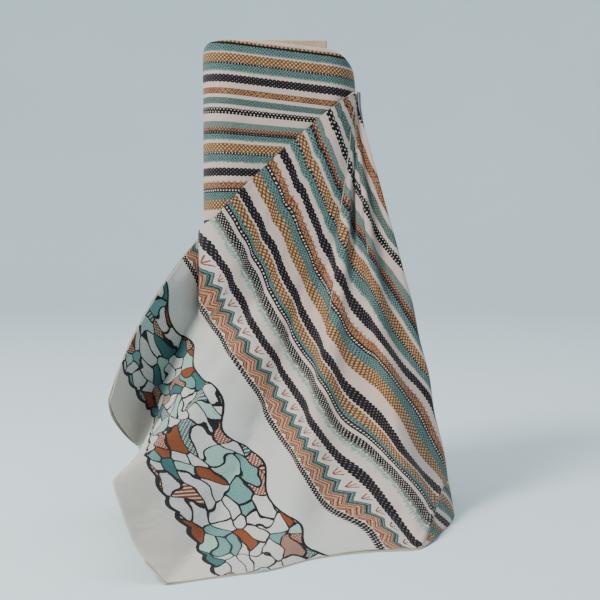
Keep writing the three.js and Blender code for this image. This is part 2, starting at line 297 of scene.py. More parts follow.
def product(first, *rest):
    """The product of several masks or values."""
    for mask in rest:
        first = add_node(tree, "ShaderNodeMath", (first, mask), operation="MULTIPLY")
    return first


def far_from(across_value, run_value):
    """Distance from the middle of a repeat, from its two parts."""
    across_square = product(across_value, across_value)
    run_square = product(run_value, run_value)
    both = add_node(tree, "ShaderNodeMath", (across_square, run_square), operation="ADD")
    return add_node(tree, "ShaderNodeMath", (both,), operation="SQRT")


def bands(pairs):
    """1 in any of the bands given as pairs of levels."""
    return any_of([between(level, low, high) for low, high in pairs])


def lattice(pitch, line_share, spot_share):
    """Cross-hatch of two sets of slanting lines, and the spots in the middle of its meshes."""
    falling = add_node(tree, "ShaderNodeMath", (run, level), operation="ADD")
    rising = add_node(tree, "ShaderNodeMath", (run, level), operation="SUBTRACT")
    off_mesh = any_of([off_middle(falling, pitch), off_middle(rising, pitch)])
    lines = add_node(
        tree, "ShaderNodeMath", (off_mesh, pitch * (0.5 - line_share / 2)), operation="GREATER_THAN"
    )
    return lines, within(off_mesh, pitch * spot_share / 2)


def sine_of(value, length):
    """Sine wave along a value, from -1 to 1, with the length given."""
    return add_node(tree, "ShaderNodeMath", (product(value, 2 * np.pi / length),), operation="SINE")


def rise(value, start, length):
    """0 up to start and 1 from start + length on, with a straight line between."""
    past = add_node(tree, "ShaderNodeMath", (value, start), operation="SUBTRACT")
    return add_node(tree, "ShaderNodeMath", (past, length), operation="DIVIDE", use_clamp=True)


def off_line(line):
    """Distance from a line along the cloth."""
    above = add_node(tree, "ShaderNodeMath", (level, line), operation="SUBTRACT")
    return add_node(tree, "ShaderNodeMath", (above,), operation="ABSOLUTE")


# Braided chains: two rows of round black links with a small lilac gap in each link.
from_chain = off_line(braid_levels[0])
for line in braid_levels[1:]:
    from_chain = add_node(tree, "ShaderNodeMath", (from_chain, off_line(line)), operation="MINIMUM")
link_run = cell(run, braid_pitch)
from_link_row = add_node(tree, "ShaderNodeMath", (from_chain, 2.9), operation="SUBTRACT")
link_far = far_from(from_link_row, link_run)
braid = any_of([within(link_far, 3.55), within(from_chain, 3.4)])
knot_far = far_from(from_chain, cell(run, braid_pitch, braid_pitch / 2))
braid_gaps = any_of([within(link_far, 0.85), within(knot_far, 0.8)])
braid_gaps = product(braid_gaps, within(from_chain, 6.0))

# Narrow chains: one with a double row of gaps, one of small rings.
narrow_edge = add_node(
    tree, "ShaderNodeMath", (off_middle(run, narrow_pitch), -0.6, 5.3), operation="MULTIPLY_ADD"
)
narrow = within(off_line(49.0), narrow_edge)
low_gap = far_from(off_line(46.9), cell(run, narrow_pitch))
high_gap = far_from(off_line(51.1), cell(run, narrow_pitch, narrow_pitch / 2))
narrow_gaps = any_of([within(low_gap, 0.95), within(high_gap, 0.95)])
seed_run = cell(run, seed_pitch)
small = off_line(349.0)
ring_edge = add_node(
    tree, "ShaderNodeMath", (off_middle(run, seed_pitch), -0.7, 5.0), operation="MULTIPLY_ADD"
)
small_rings = within(small, ring_edge)
from_ring_edge = add_node(tree, "ShaderNodeMath", (small, 3.0), operation="SUBTRACT")
edge_gap = far_from(from_ring_edge, cell(run, seed_pitch, seed_pitch / 2))
small_gaps = any_of([within(far_from(small, seed_run), 0.9), within(edge_gap, 0.8)])

# Zigzag waves from 0 to 1: the wide one, and a small one for the rows of tight points.
wave = add_node(
    tree, "ShaderNodeMath", (off_middle(run, zigzag_pitch), zigzag_pitch / 2), operation="DIVIDE"
)
small_wave = add_node(
    tree, "ShaderNodeMath", (off_middle(run, point_pitch), point_pitch / 2), operation="DIVIDE"
)


def zigzag(low, high, thickness, on=wave, shift=0.0):
    """Zigzag line from low to high of the width given."""
    line = add_node(tree, "ShaderNodeMath", (on, high - low, low + shift), operation="MULTIPLY_ADD")
    return within(off_line(line), thickness / 2)


def seeds(line, radius):
    """Row of small round stitches on a line."""
    return within(far_from(off_line(line), seed_run), radius)


# Sprigs of three stitches that stand in the points of the zigzag.
sprig_run = off_middle(run, zigzag_pitch, zigzag_pitch / 2)
sprig_up = add_node(tree, "ShaderNodeMath", (314.5, level), operation="SUBTRACT")
off_slanting = add_node(tree, "ShaderNodeMath", (sprig_up, -0.62, sprig_run), operation="MULTIPLY_ADD")
off_slanting = add_node(tree, "ShaderNodeMath", (off_slanting,), operation="ABSOLUTE")
sprig = any_of([within(sprig_run, 0.8), within(off_slanting, 1.0)])
sprig = product(sprig, between(level, 303.5, 313.6), within(sprig_run, 7.0))

coarse_lines, coarse_spots = lattice(6.2, 0.24, 0.36)
fine_lines, fine_spots = lattice(4.8, 0.3, 0.42)
fringe_place = add_node(
    tree, "ShaderNodeVectorMath", (in_mm.outputs[0], (0.42, 0.1, 0.0)), operation="MULTIPLY"
)
feather = add_node(
    tree, "ShaderNodeTexNoise", {"Vector": fringe_place.outputs[0], "Scale": 1.0, "Detail": 1.0}
).outputs["Fac"]


def feathered(edge, reach):
    """Fringe of stitches of uneven length that ends about reach past an edge."""
    length = add_node(
        tree, "ShaderNodeMath", (feather, 2.4 * reach, edge - 0.6 * reach), operation="MULTIPLY_ADD"
    )
    before_end = add_node(tree, "ShaderNodeMath", (level, length), operation="LESS_THAN")
    past_edge = add_node(tree, "ShaderNodeMath", (level, edge - 1.0), operation="GREATER_THAN")
    return product(before_end, past_edge)


teal_places = [(-51.4, -41.4), (-22.5, -12.3), (83.5, 91.0)]
teal_places += [(113.9, 124.3), (170.3, 181.7), (236.8, 243.2)]
teal_bands = bands(teal_places)
ochre_bands = bands([(-57.5, -54.5), (-38.0, -24.5), (97.3, 110.6), (181.7, 196.2), (225.3, 236.8)])
rust_bands = bands([(14.6, 23.8), (73.6, 79.0), (155.6, 164.8)])
inked_places = [(-54.5, -51.4), (-24.9, -22.2), (79.0, 83.5)]
inked_places += [(110.4, 113.9), (164.8, 170.3), (242.3, 248.7)]
inked_bands = bands(inked_places)
net_band = bands([(253.8, 265.3)])
in_rust_zigzags = bands([(320.0, 343.6)])
off_spots = add_node(tree, "ShaderNodeMath", (1.0, fine_spots), operation="SUBTRACT")
white_seeds = [seeds(111.9, 0.95), seeds(167.5, 1.25), seeds(245.4, 1.2), seeds(-23.5, 0.7)]
ochre_points = [zigzag(157.0, 163.0, 2.0, small_wave), zigzag(16.2, 22.2, 1.8, small_wave)]
past_net = add_node(tree, "ShaderNodeMath", (level, 269.5), operation="GREATER_THAN")

# Layers of thread, from the lowest to the highest: mask and colour.
layers = [
    (teal_bands, thread_teal),
    (product(teal_bands, fine_lines), thread_light_teal),
    (product(teal_bands, fine_spots), thread_deep_teal),
    (bands([(29.1, 39.1)]), thread_light_teal),
    (product(bands([(30.3, 37.9)]), off_spots), thread_green),
    (product(bands([(29.1, 39.1)]), fine_lines), thread_teal),
    (bands([(65.0, 73.6)]), thread_green),
    (product(bands([(65.0, 73.6)]), fine_lines), thread_light_teal),
    (feathered(91.0, 2.2), thread_light_teal),
    (feathered(124.3, 2.2), thread_light_teal),
    (feathered(-12.3, 2.0), thread_light_teal),
    (feathered(-41.4, 2.0), thread_light_teal),
    (ochre_bands, thread_ochre),
    (product(ochre_bands, coarse_spots), thread_straw),
    (product(ochre_bands, coarse_lines), thread_brown),
    (rust_bands, thread_rust),
    (product(rust_bands, fine_lines), thread_brown),
    (product(rust_bands, fine_spots), thread_peach),
    (any_of(ochre_points), thread_ochre),
    (zigzag(153.5, 158.5, 1.6, small_wave), thread_rust),
    (inked_bands, thread_black),
    (any_of(white_seeds), thread_white),
    (seeds(81.2, 1.1), thread_purple),
    (net_band, thread_black),
    (product(net_band, fine_spots), thread_white),
    (feathered(265.3, 5.0), thread_green),
    (product(feathered(270.0, 6.0), past_net), thread_mint),
    (braid, thread_black),
    (braid_gaps, thread_purple),
    (narrow, thread_black),
    (narrow_gaps, thread_white),
    (sprig, thread_rust),
]
# Lines of the wide zigzag, four in teal and nine in rust colours: shift across, width and thread.
teal_zigzags = [
    (0.0, 2.5, thread_teal),
    (2.2, 1.9, thread_light_teal),
    (4.4, 2.4, thread_deep_teal),
    (6.7, 2.0, thread_teal),
]
rust_zigzags = [
    (9.0, 2.2, thread_ochre),
    (11.3, 2.1, thread_red),
    (13.6, 2.0, thread_peach),
    (15.8, 2.2, thread_red),
    (18.1, 2.0, thread_ochre),
    (20.3, 2.0, thread_peach),
    (22.5, 2.2, thread_red),
    (24.8, 2.2, thread_ochre),
    (27.0, 2.2, thread_red),
]
for shift, thickness, thread in teal_zigzags:
    layers.append((zigzag(zigzag_low, zigzag_high, thickness, wave, shift), thread))
for shift, thickness, thread in rust_zigzags:
    line = zigzag(zigzag_low, zigzag_high, thickness, wave, shift)
    layers.append((product(line, in_rust_zigzags), thread))
layers.append((small_rings, thread_black))
layers.append((small_gaps, thread_white))

# Pebble band: rounded cells with black outlines in a wide band near the plain edge of the cloth.
# A made-up filling of plain, dotted and striped pebbles in the thread colours.
bend = add_node(tree, "ShaderNodeTexNoise", {"Vector": in_mm.outputs[0], "Scale": 0.026, "Detail": 0.5})
bent = add_node(
    tree, "ShaderNodeVectorMath", (bend.outputs["Color"], (0.5, 0.5, 0.5)), operation="SUBTRACT"
)
pebble_place = add_node(
    tree,
    "ShaderNodeVectorMath",
    (bent.outputs[0], (62.0, 44.0, 0.0), shaken.outputs[0]),
    operation="MULTIPLY_ADD",
)
pebble_place = add_node(
    tree,
    "ShaderNodeVectorMath",
    (pebble_place.outputs[0], (1 / 31.0, 1 / 25.0, 0.0)),
    operation="MULTIPLY",
)
pebble_edge = add_node(
    tree,
    "ShaderNodeTexVoronoi",
    {"Vector": pebble_place.outputs[0], "Scale": 1.0, "Randomness": 0.85},
    voronoi_dimensions="2D",
    feature="DISTANCE_TO_EDGE",
)
pebble_cell = add_node(
    tree,
    "ShaderNodeTexVoronoi",
    {"Vector": pebble_place.outputs[0], "Scale": 1.0, "Randomness": 0.85},
    voronoi_dimensions="2D",
    feature="F1",
)
pick = add_node(tree, "ShaderNodeSeparateColor", {"Color": pebble_cell.outputs["Color"]})
pebble_tone = add_node(tree, "ShaderNodeValToRGB", {"Fac": pick.outputs["Red"]})
ramp = pebble_tone.color_ramp
ramp.interpolation = "CONSTANT"
ramp.elements[0].color = hex_colour("b9bdb8")
ramp.elements[1].position = 0.23
ramp.elements[1].color = hex_colour("2f605f")
for stop, code in ((0.41, "93b3a9"), (0.54, "783c18"), (0.73, "b9bdb8"), (0.91, "5f8d88")):
    ramp.elements.new(stop).color = hex_colour(code)
top_wave = add_node(
    tree, "ShaderNodeMath", (sine_of(run, 118.0), 13.0, 414.0), operation="MULTIPLY_ADD"
)
hem_swell = rise(run, 545.0, 90.0)
top_wave = add_node(tree, "ShaderNodeMath", (hem_swell, -24.0, top_wave), operation="MULTIPLY_ADD")
foot_wave = add_node(tree, "ShaderNodeMath", (sine_of(run, 54.0),), operation="ABSOLUTE")
foot_wave = add_node(tree, "ShaderNodeMath", (foot_wave, 6.0, 566.0), operation="MULTIPLY_ADD")
below_top = add_node(tree, "ShaderNodeMath", (level, top_wave), operation="GREATER_THAN")
above_foot = add_node(tree, "ShaderNodeMath", (level, foot_wave), operation="LESS_THAN")
pebble_band = product(below_top, above_foot)
foot_gap = product(off_line(foot_wave), 0.6)
rim_gap = add_node(tree, "ShaderNodeMath", (off_line(top_wave), foot_gap), operation="MINIMUM")
on_rim = within(rim_gap, 2.0)
pebble_line = any_of([within(pebble_edge.outputs["Distance"], 0.062), on_rim])
is_striped = add_node(tree, "ShaderNodeMath", (pick.outputs["Green"], 0.74), operation="GREATER_THAN")
is_dotted = add_node(tree, "ShaderNodeMath", (pick.outputs["Green"], 0.3), operation="LESS_THAN")
is_dark = any_of([between(pick.outputs["Red"], 0.23, 0.41), between(pick.outputs["Red"], 0.54, 0.73)])
stripes = product(is_striped, within(off_middle(run, 6.4), 0.95))
dots = product(is_dotted, lattice(5.4, 0.2, 0.5)[1])
pale_marks = product(is_dark, any_of([stripes, dots]), pebble_band)
in_ink_part = add_node(tree, "ShaderNodeMath", (level, 370.0), operation="GREATER_THAN")
pebble_ink = product(any_of([pebble_band, on_rim]), pebble_line, in_ink_part)

# Ground cloth: warm off-white in the striped part, cooler and greyer towards the plain edge.
ground_shift = rise(level, 240.0, 160.0)
slub_place = add_node(
    tree, "ShaderNodeVectorMath", (in_mm.outputs[0], (0.06, 1.1, 1.0)), operation="MULTIPLY"
)
slubs = add_node(
    tree, "ShaderNodeTexNoise", {"Vector": slub_place.outputs[0], "Scale": 1.0, "Detail": 3.0}
)
ground = add_node(
    tree,
    "ShaderNodeMix",
    {0: ground_shift, 6: hex_colour("bfaba1"), 7: hex_colour("bcc1bc")},
    data_type="RGBA",
)
# Past the pebbles, on the plain edge, the linen is unbleached again.
edge_shift = rise(level, 560.0, 30.0)
ground = add_node(
    tree,
    "ShaderNodeMix",
    {0: edge_shift, 6: ground.outputs[2], 7: hex_colour("c3beb4")},
    data_type="RGBA",
)
shade = add_node(tree, "ShaderNodeMath", (slubs.outputs["Fac"], 0.16, 0.92), operation="MULTIPLY_ADD")
colour = add_node(
    tree, "ShaderNodeVectorMath", {0: ground.outputs[2], "Scale": shade}, operation="SCALE"
).outputs[0]
raised = None
for mask, code in layers:
    colour = add_node(
        tree, "ShaderNodeMix", {0: mask, 6: colour, 7: hex_colour(code)}, data_type="RGBA"
    ).outputs[2]
    raised = mask if raised is None else any_of([raised, mask])
colour = add_node(
    tree, "ShaderNodeMix", {0: pebble_band, 6: colour, 7: pebble_tone.outputs["Color"]}, data_type="RGBA"
).outputs[2]
colour = add_node(
    tree, "ShaderNodeMix", {0: pale_marks, 6: colour, 7: hex_colour(thread_white)}, data_type="RGBA"
).outputs[2]
colour = add_node(
    tree, "ShaderNodeMix", {0: pebble_ink, 6: colour, 7: hex_colour(thread_black)}, data_type="RGBA"
).outputs[2]
raised = any_of([raised, product(pebble_band, 0.7), pebble_ink])
# Thread catches the light unevenly from stitch to stitch, in patches of 2 to 4 mm.
mottle = add_node(
    tree,
    "ShaderNodeTexNoise",
    {"Vector": in_mm.outputs[0], "Scale": 0.42, "Detail": 3.0, "Roughness": 0.7},
)
sparkle = add_node(tree, "ShaderNodeMath", (mottle.outputs["Fac"], 2.1, -0.1), operation="MULTIPLY_ADD")
sparkle = add_node(tree, "ShaderNodeMath", (sparkle, 1.0), operation="SUBTRACT")
sparkle = add_node(tree, "ShaderNodeMath", (raised, sparkle, 1.0), operation="MULTIPLY_ADD")
colour = add_node(
    tree, "ShaderNodeVectorMath", {0: colour, "Scale": sparkle}, operation="SCALE"
).outputs[0]

# Weave drawn at 1.5 mm between threads, about twice as coarse as the real one, so that it shows.
weave_apart = 1.5
weave = product(sine_of(run, weave_apart), sine_of(level, weave_apart), 0.5)
# Satin stitches lie across the band, drawn 1.8 mm apart, and stand about 0.5 mm proud.
stitch_apart = 1.8
stitch = product(sine_of(run, stitch_apart), 0.3)
proud = add_node(tree, "ShaderNodeMath", (stitch, 1.6), operation="ADD")
height = add_node(tree, "ShaderNodeMath", (product(raised, proud), weave), operation="ADD")
height = add_node(tree, "ShaderNodeMath", (slubs.outputs["Fac"], 0.6, height), operation="MULTIPLY_ADD")
# Soft crumples left by handling, 20 to 60 mm across and 2 mm deep.
crumple = add_node(
    tree,
    "ShaderNodeTexNoise",
    {"Vector": in_mm.outputs[0], "Scale": 0.021, "Detail": 2.5, "Roughness": 0.45, "Distortion": 0.8},
)
soft_relief = add_node(
    tree, "ShaderNodeBump", {"Height": crumple.outputs["Fac"], "Strength": 0.55, "Distance": 0.009}
)
relief = add_node(
    tree,
    "ShaderNodeBump",
    {"Height": height, "Normal": soft_relief.outputs["Normal"], "Strength": 0.8, "Distance": 0.0004},
)
skin = add_node(
    tree,
    "ShaderNodeBsdfPrincipled",
    {
        "Base Color": colour,
        "Normal": relief.outputs["Normal"],
        "Roughness": 0.86,
        "Sheen Weight": 0.1,
        "Sheen Roughness": 0.5,
        "Specular IOR Level": 0.2,
    },
)
add_node(tree, "ShaderNodeOutputMaterial", {"Surface": skin.outputs["BSDF"]})

# Reverse of the embroidery: plain linen, greyer, with the threads showing through as faint bands.
reverse, tree = bare_material("linen_reverse")
flat_place = add_node(tree, "ShaderNodeUVMap", uv_map="cloth_mm")
in_mm = add_node(
    tree, "ShaderNodeVectorMath", (flat_place.outputs["UV"], (1000.0, 1000.0, 0.0)), operation="MULTIPLY"
)
parts = add_node(tree, "ShaderNodeSeparateXYZ", {"Vector": in_mm.outputs[0]})
run = parts.outputs["X"]
level = parts.outputs["Y"]
faint_bands = [(line - 6.0, line + 6.0) for line in braid_levels]
faint_bands += [(-57.0, -41.0), (-38.0, -12.0), (65.0, 91.0)]
faint_bands += [(97.0, 124.0), (155.0, 196.0), (225.0, 278.0), (303.0, 353.0)]
show_through = bands(faint_bands)
tufts = add_node(
    tree,
    "ShaderNodeTexNoise",
    {"Vector": in_mm.outputs[0], "Scale": 0.5, "Detail": 4.0, "Roughness": 0.7},
)
faint = product(show_through, product(tufts.outputs["Fac"], 0.9))
tone = add_node(
    tree, "ShaderNodeMix", {0: faint, 6: hex_colour("bdb3a4"), 7: hex_colour("77706a")}, data_type="RGBA"
)
weave = product(sine_of(run, weave_apart), sine_of(level, weave_apart))
height = add_node(tree, "ShaderNodeMath", (weave, tufts.outputs["Fac"]), operation="ADD")
relief = add_node(tree, "ShaderNodeBump", {"Height": height, "Strength": 0.6, "Distance": 0.0003})
skin = add_node(
    tree,
    "ShaderNodeBsdfPrincipled",
    {
        "Base Color": tone.outputs[2],
        "Normal": relief.outputs["Normal"],
        "Roughness": 0.88,
        "Sheen Weight": 0.2,
        "Sheen Roughness": 0.5,
    },
)
add_node(tree, "ShaderNodeOutputMaterial", {"Surface": skin.outputs["BSDF"]})

# Raw cut edge of the doubled linen: ecru, fuzzy, with single thread ends every millimetre or two.
raw_edge, tree = bare_material("raw_linen_edge")
place = add_node(tree, "ShaderNodeTexCoord")
ends = add_node(
    tree, "ShaderNodeTexNoise", {"Vector": place.outputs["Object"], "Scale": 700.0, "Detail": 3.0}
)
tone = add_node(tree, "ShaderNodeValToRGB", {"Fac": ends.outputs["Fac"]})
tone.color_ramp.elements[0].position = 0.35
tone.color_ramp.elements[0].color = hex_colour("a89c8c")
tone.color_ramp.elements[1].position = 0.65
tone.color_ramp.elements[1].color = hex_colour("cbc2b4")
skin = add_node(
    tree, "ShaderNodeBsdfPrincipled", {"Base Color": tone.outputs["Color"], "Roughness": 0.95}
)
add_node(tree, "ShaderNodeOutputMaterial", {"Surface": skin.outputs["BSDF"]})

# Wound turns
# About forty turns of the doubled linen wound tight round the board. Only their top edges show,
# stepped and soft; the sides are hidden by the outermost turn. Held by the winding alone.
bolt_width = 0.230
bolt_thick = 0.110
bolt_corner = 0.045
bolt_height = 0.690
lean = np.radians(4.0)
yaw = np.radians(4.0)
across_axis = np.array([np.cos(yaw), np.sin(yaw), 0.0])
level_axis = np.array([np.sin(yaw), -np.cos(yaw), 0.0])
up_axis = np.array([0.0, 0.0, 1.0])
outward_axis = level_axis * np.cos(lean) + up_axis * np.sin(lean)
along_axis = up_axis * np.cos(lean) - level_axis * np.sin(lean)
# Place of the middle of the bolt's foot, from the middle of the whole footprint.
bolt_foot = np.array([-0.00987, 0.17512, 0.0])


def from_bolt(x, n, h):
    """Point at x across the front, n out of the front face and h up the board."""
    x, n, h = np.broadcast_arrays(x, n, h)
    return (
        x[..., None] * across_axis + n[..., None] * outward_axis + h[..., None] * along_axis + bolt_foot
    )


left_shoulder = 0.014


def rim_dip(x):
    """How far the top rim sinks at x: a slope to the right and round shoulders at both ends."""
    right = np.clip(x - (bolt_width / 2 - bolt_corner), 0, bolt_corner)
    left = np.clip(-x - (bolt_width / 2 - left_shoulder), 0, left_shoulder)
    slope = 0.12 * np.maximum(0, x + 0.03)
    round_right = bolt_corner - np.sqrt(bolt_corner**2 - right**2)
    round_left = left_shoulder - np.sqrt(left_shoulder**2 - left**2)
    return slope + 0.8 * round_right + 0.7 * round_left


def round_ring(turn, half_w, half_t, corner):
    """Rounded rectangle at share turn of its way round, from the middle of the right side over the
    front. Equal shares of turn are equal lengths of cloth."""
    flat_t = 2 * (half_t - corner)
    flat_w = 2 * (half_w - corner)
    arc = np.pi / 2 * corner
    lengths = np.array([flat_t / 2, arc, flat_w, arc, flat_t, arc, flat_w, arc, flat_t / 2])
    ends = np.concatenate([[0], np.cumsum(lengths)])
    at = (turn % 1.0) * ends[-1]
    cx = half_w - corner
    cn = half_t - corner
    # Corner centres and start angles of the four arcs, and the flats between them.
    x = np.interp(at, ends, [half_w, half_w, cx, -cx, -half_w, -half_w, -cx, cx, half_w, half_w])
    n = np.interp(at, ends, [0, cn, half_t, half_t, cn, -cn, -half_t, -half_t, -cn, 0])
    for k, sx, sn in ((1, 1, 1), (3, -1, 1), (5, -1, -1), (7, 1, -1)):
        inside = (at >= ends[k]) & (at <= ends[k + 1])
        share = (at - ends[k]) / lengths[k]
        angle = np.radians({1: 0, 3: 90, 5: 180, 7: 270}[k] + 90 * share)
        x = np.where(inside, sx * cx + corner * np.cos(angle), x)
        n = np.where(inside, sn * cn + corner * np.sin(angle), n)
    return x, n


def soft_noise(seed, a, b, waves=9, low=1.0, high=4.0):
    """Sum of a few seeded sine waves in two parameters, mostly between -1 and 1."""
    rng = np.random.default_rng(seed)
    total = np.zeros(np.broadcast(a, b).shape)
    for _ in range(waves):
        fa, fb = rng.uniform(low, high, 2) * rng.choice([-1, 1], 2)
        total = total + np.sin(2 * np.pi * (fa * a + fb * b) + rng.uniform(0, 2 * np.pi))
    return total / np.sqrt(waves)


winding_depth = 0.0435
foot_height = 0.006
turn_round = np.linspace(0, 1, 241)[:-1]
inset = np.linspace(0.0, winding_depth, 64)
ring_x = []
ring_n = []
for value in inset:
    x, n = round_ring(
        turn_round,
        bolt_width / 2 - value * 0.66,
        bolt_thick / 2 - value,
        max(bolt_corner - value * 0.93, 0.004),
    )
    ring_x.append(x - 0.010 * value / winding_depth)
    ring_n.append(n)
ring_x = np.array(ring_x)
ring_n = np.array(ring_n)
# Edges of the turns: ridges 2.2 mm apart of uneven height, about two turns to a ridge, in a spiral.
ply = (inset[:, None] * 1000 / 2.2) + turn_round[None, :]
ridge = np.abs(np.sin(np.pi * ply))
ridge_height = 0.0017 * ridge + 0.0016 * soft_noise(3, inset[:, None] * 60, turn_round[None, :] * 3.0)
top = bolt_height - rim_dip(ring_x) + ridge_height - 0.0012
top = top - 0.004 * np.exp(-inset[:, None] / 0.0015)
side_rows = np.linspace(0.0, 1.0, 12)[:-1]
side_h = side_rows[:, None] * top[:1] + (1 - side_rows[:, None]) * foot_height
side = from_bolt(ring_x[:1], ring_n[:1], side_h)
side[..., 2] = np.maximum(side[..., 2], 0.0005)
over = from_bolt(ring_x, ring_n, top)
slot_h = top[-1:] * (1 - side_rows[1:, None]) + foot_height * side_rows[1:, None]
slot_down = from_bolt(ring_x[-1:], ring_n[-1:], slot_h)
# The grid starts on the floor inside, goes out under the turns, up the side, over and down the slot.
out_share = np.linspace(0, 1, 8)[:-1, None]
underside = from_bolt(
    ring_x[-1:] + (ring_x[:1] - ring_x[-1:]) * out_share,
    ring_n[-1:] + (ring_n[:1] - ring_n[-1:]) * out_share,
    np.full_like(out_share, foot_height),
)
underside[..., 2] = np.maximum(underside[..., 2], 0.0005)
slot_down[..., 2] = np.maximum(slot_down[..., 2], 0.0005)
turn_points = np.concatenate([underside, side, over, slot_down, underside[:1]])
turns = grid_mesh("wound_turns", turn_points, closed_across=True)
# Cut and folded linen edges, undyed, packed tight: pale, with painted shade as thin dark lines in the
# hollows between the turns.
edges, tree = bare_material("stacked_linen_edges")
place = add_node(tree, "ShaderNodeTexCoord")
fuzz = add_node(
    tree, "ShaderNodeTexNoise", {"Vector": place.outputs["Object"], "Scale": 420.0, "Detail": 5.0}
)
painted_shade_curvature = add_node(tree, "ShaderNodeNewGeometry")
# Painted shade: where the surface curves inwards, in the hollows between the turns, the colour goes
# dark.
tone = add_node(tree, "ShaderNodeValToRGB", {"Fac": painted_shade_curvature.outputs["Pointiness"]})
tone.color_ramp.elements[0].position = 0.44
tone.color_ramp.elements[0].color = hex_colour("8f8078")
tone.color_ramp.elements[1].position = 0.53
tone.color_ramp.elements[1].color = hex_colour("d0c4ba")
lint = add_node(
    tree, "ShaderNodeBump", {"Height": fuzz.outputs["Fac"], "Strength": 0.5, "Distance": 0.0007}
)
skin = add_node(
    tree,
    "ShaderNodeBsdfPrincipled",
    {
        "Base Color": tone.outputs["Color"],
        "Normal": lint.outputs["Normal"],
        "Roughness": 0.9,
        "Sheen Weight": 0.2,
        "Sheen Roughness": 0.5,
    },
)
add_node(tree, "ShaderNodeOutputMaterial", {"Surface": skin.outputs["BSDF"]})
turns.data.materials.append(edges)
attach(turns, "root")
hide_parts("wound_layers")

# Outermost turn
# The last turn of the doubled cloth with its stripes level, smooth over the front and a little
# drawn towards the tuck on the right. Its folded edge is the top rim, and it stands on the floor.
pinch_level = 0.6346
wrap_turn = np.linspace(0, 1, 361)[:-1]
wrap_gap = 0.00035
wrap_wall = 0.0006
wrap_x, wrap_n = round_ring(
    wrap_turn,
    bolt_width / 2 + wrap_gap + wrap_wall,
    bolt_thick / 2 + wrap_gap + wrap_wall,
    bolt_corner + wrap_gap + wrap_wall,
)
wrap_top = bolt_height - rim_dip(np.clip(wrap_x, -0.115, 0.115)) + 0.0005
rows = np.linspace(0.0, 1.0, 190)
wrap_h = rows[:, None] * wrap_top[None, :] + (1 - rows[:, None]) * (0.0045 + 0.07 * wrap_n[None, :])
soft = 0.0004 + 0.0006 * (0.5 + 0.5 * soft_noise(11, wrap_turn[None, :] * 2.0, wrap_h * 2.2))
drawn = 0.0009 * np.exp(-(((wrap_h - 0.62 + 0.25 * (wrap_x[None, :] - 0.1)) / 0.02) ** 2))
proud = soft + drawn * np.clip((wrap_x[None, :] + 0.02) / 0.1, 0, 1)
centre_x = np.clip(wrap_x, -(bolt_width / 2 - bolt_corner), bolt_width / 2 - bolt_corner)
centre_n = np.clip(wrap_n, -(bolt_thick / 2 - bolt_corner), bolt_thick / 2 - bolt_corner)
out_x = (wrap_x - centre_x) / np.hypot(wrap_x - centre_x, wrap_n - centre_n)
out_n = (wrap_n - centre_n) / np.hypot(wrap_x - centre_x, wrap_n - centre_n)
outer = from_bolt(wrap_x + out_x * proud, wrap_n + out_n * proud, wrap_h)
outer[..., 2] = np.maximum(outer[..., 2], 0.0006)
# The folded rim: half a turn over the edge, 2.2 mm across and 1.4 mm high.
rim_angle = np.radians([30, 60, 90, 120, 150, 180])
rim = [
    from_bolt(
        wrap_x + out_x * (proud[-1] - 0.0011 * (1 - np.cos(a))),
        wrap_n + out_n * (proud[-1] - 0.0011 * (1 - np.cos(a))),
        wrap_top + 0.0014 * np.sin(a),
    )
    for a in rim_angle
]
wrap_points = np.concatenate([outer, np.array(rim)])
wrap_length = 0.615
slope = 0.118 * np.clip((wrap_h - 0.44) / 0.15, 0, 1) ** 1.2
droop = slope * (np.clip(wrap_x, -0.2, 0.2)[None, :] + 0.072)
cross = pinch_level - wrap_h - droop
rim_cross = cross[-1:] - 0.0008 * np.arange(1, len(rim) + 1)[:, None]
cross = np.concatenate([cross, rim_cross])
cross = np.concatenate([cross, cross[:, :1]], axis=1)
along_run = -np.linspace(0, 1, 361) * wrap_length
wrap_uv = np.stack([np.broadcast_to(along_run, cross.shape), cross], axis=-1)
wrap = grid_mesh("outer_turn", wrap_points, closed_across=True, uv=wrap_uv)


def cloth_wall(cloth, finishes, thickness):
    """Gives a cloth its wall, inwards from its face, and its finishes. The first one is the face's,
    and where there are three, the second is the back's and the third the cut edge's."""
    for finish in finishes:
        cloth.data.materials.append(finish)
    wall = cloth.modifiers.new("cloth_thickness", "SOLIDIFY")
    wall.thickness = thickness
    wall.offset = -1.0
    wall.material_offset = min(1, len(finishes) - 1)
    wall.material_offset_rim = len(finishes) - 1


cloth_wall(wrap, [linen], wrap_wall)
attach(wrap, "root")
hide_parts("outer_wrap")

# Free end
# Last 650 mm of the doubled cloth, drawn down to the right through a slanting tuck and spread in
# flutes on the floor in front. One sheet, folded once along the slant, standing on its cut end.
cloth_above = 0.056
cloth_below = 0.644
free_length = 0.650
pinch = np.array([0.1105, 0.057, 0.620])
top_fold_start = np.array([0.115, 0.098, 0.644])
comes_forward = np.tan(np.radians(8.0)) - np.tan(lean)
